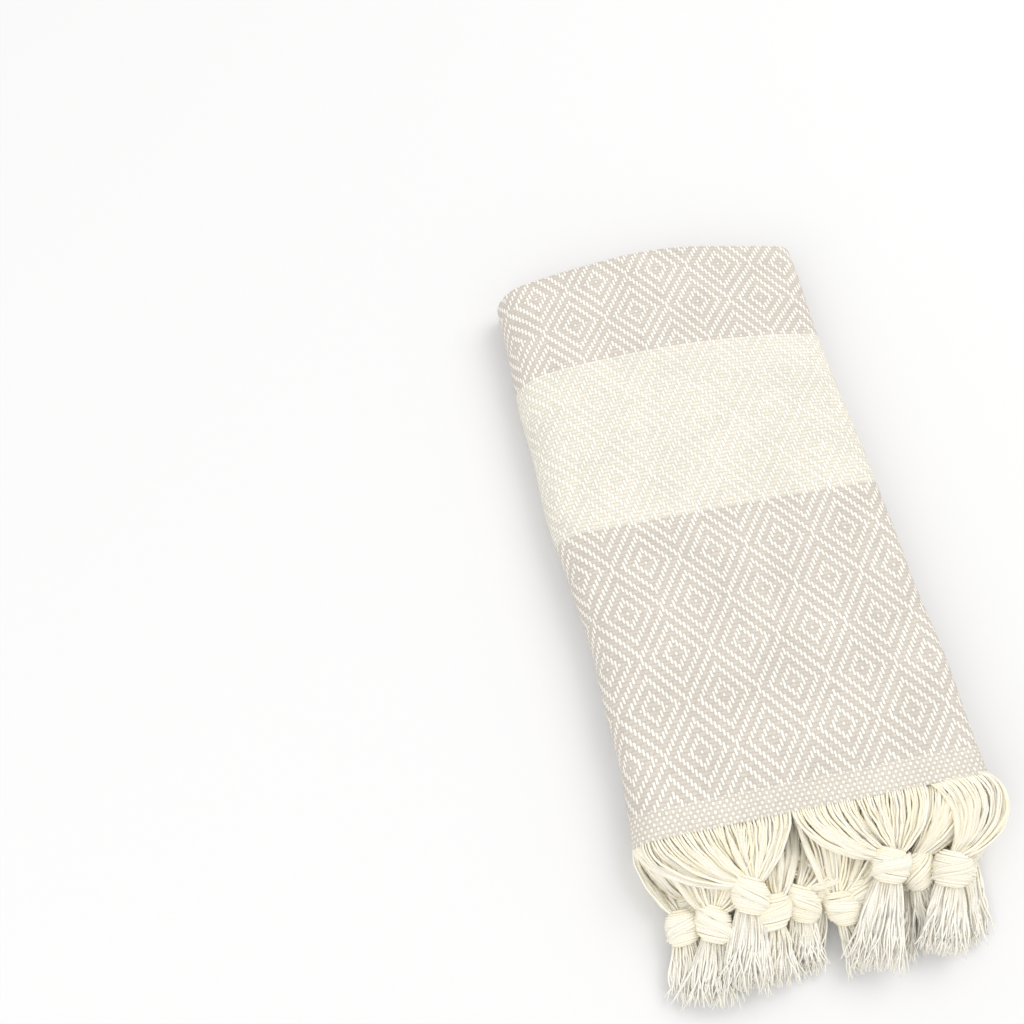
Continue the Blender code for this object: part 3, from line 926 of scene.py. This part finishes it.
def make_yarn_material():
    material = bpy.data.materials.new("fringe_cotton")
    material.use_nodes = True
    tree = material.node_tree
    wires = Wires(tree)
    shader = tree.nodes["Principled BSDF"]
    yarn = tree.nodes.new("ShaderNodeUVMap")
    yarn.uv_map = "Yarn"
    split = tree.nodes.new("ShaderNodeSeparateXYZ")
    tree.links.new(yarn.outputs["UV"], split.inputs[0])
    number = wires.math("FLOOR", split.outputs[0])
    around = wires.math("FRACT", split.outputs[0])
    twist = wires.math("ADD", wires.math("MULTIPLY", split.outputs[1], TWISTS), around)
    plies = wires.math("PINGPONG", twist, 0.5)
    ply = wires.ramp(plies, 0.0, 0.22)
    tone = wires.grain(number, 2.0)
    apart = wires.math("MULTIPLY", number, 3.7)
    along = wires.noise(wires.join(apart, split.outputs[1]), 160.0, 2.0)
    share = wires.math("ADD", wires.math("MULTIPLY", tone, 0.7), wires.math("MULTIPLY", along, 0.5))
    colour = wires.mix(wires.ramp(share, 0.25, 1.05), YARN_PALE, YARN_DEEP)
    frayed = wires.ramp(split.outputs[1], TAIL_MARK + 0.002, TAIL_MARK + 0.014, 0.0, 0.95)
    colour = wires.mix(frayed, colour, FRAYED)
    # Painted shade: the colour is darkened in the groove between the plies, along the twist.
    painted_groove_shade = tree.nodes.new("ShaderNodeMix")
    painted_groove_shade.data_type, painted_groove_shade.blend_type = "RGBA", "MULTIPLY"
    tree.links.new(wires.ramp(ply, 1.0, 0.0, 0.0, 0.22), painted_groove_shade.inputs[0])
    tree.links.new(colour, painted_groove_shade.inputs[6])
    painted_groove_shade.inputs[7].default_value = GROOVE_PAINTED_SHADE
    tree.links.new(painted_groove_shade.outputs[2], shader.inputs["Base Color"])
    bump = tree.nodes.new("ShaderNodeBump")
    bump.inputs["Strength"].default_value = 0.35
    bump.inputs["Distance"].default_value = 0.00010
    tree.links.new(ply, bump.inputs["Height"])
    tree.links.new(bump.outputs[0], shader.inputs["Normal"])
    shader.inputs["Roughness"].default_value = 0.78
    shader.inputs["Specular IOR Level"].default_value = 0.3
    shader.inputs["Sheen Weight"].default_value = 0.15
    shader.inputs["Subsurface Weight"].default_value = 0.25
    shader.inputs["Subsurface Radius"].default_value = (1.0, 0.9, 0.7)
    shader.inputs["Subsurface Scale"].default_value = 0.0010
    return material


yarn_material = make_yarn_material()
for comb in (outer_yarns, inner_yarns):
    comb.data.materials.append(yarn_material)

# %% [markdown]
# ## Floor, light and finish
#
# The towel lies on a plain pale floor. The light is that of a bright white studio: a wide soft lamp
# high on the right, a weaker one from the left, and an even white surround that opens the
# shadows. The view transform is Standard, because pale cotton would turn grey under a filmic one.

# %% The floor and the light
FLOOR_COLOUR, FLOOR_HALF = (0.735, 0.735, 0.740, 1.0), 3.0
SURROUND = 0.86


def build_floor():
    mesh = bpy.data.meshes.new("floor")
    half = FLOOR_HALF
    corners = [(-half, -half, 0), (half, -half, 0), (half, half, 0), (-half, half, 0)]
    mesh.from_pydata(corners, [], [(0, 1, 2, 3)])
    floor = bpy.data.objects.new("floor", mesh)
    bpy.context.scene.collection.objects.link(floor)
    material = bpy.data.materials.new("pale_floor")
    material.use_nodes = True
    shader = material.node_tree.nodes["Principled BSDF"]
    shader.inputs["Base Color"].default_value = FLOOR_COLOUR
    shader.inputs["Roughness"].default_value = 0.9
    mesh.materials.append(material)
    return floor


def soft_lamp(name, place, aim, size, watts, colour):
    data = bpy.data.lights.new(name, "AREA")
    data.size, data.energy, data.color = size, watts, colour
    lamp = bpy.data.objects.new(name, data)
    bpy.context.scene.collection.objects.link(lamp)
    way = Vector(aim) - Vector(place)
    lamp.location = place
    lamp.rotation_euler = way.to_track_quat("-Z", "Y").to_euler()
    return lamp


build_floor()
soft_lamp("key", (0.9, 0.5, 1.4), (0.0, 0.0, 0.0), 1.2, 12.5, (1.0, 0.985, 0.96))
soft_lamp("fill", (-1.0, -0.8, 1.2), (0.0, -0.02, 0.0), 1.4, 10.5, (1.0, 0.99, 0.975))
world = bpy.data.worlds.new("studio")
world.use_nodes = True
world.node_tree.nodes["Background"].inputs["Color"].default_value = (1.0, 1.0, 1.0, 1.0)
world.node_tree.nodes["Background"].inputs["Strength"].default_value = SURROUND
bpy.context.scene.world = world
bpy.context.scene.view_settings.view_transform = "Standard"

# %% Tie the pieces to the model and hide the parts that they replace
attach(towel_cloth, "root")
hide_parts("cloth")
for comb, node in ((outer_yarns, "outer_fringe"), (inner_yarns, "inner_fringe")):
    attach(comb, "root")
    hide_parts(node)
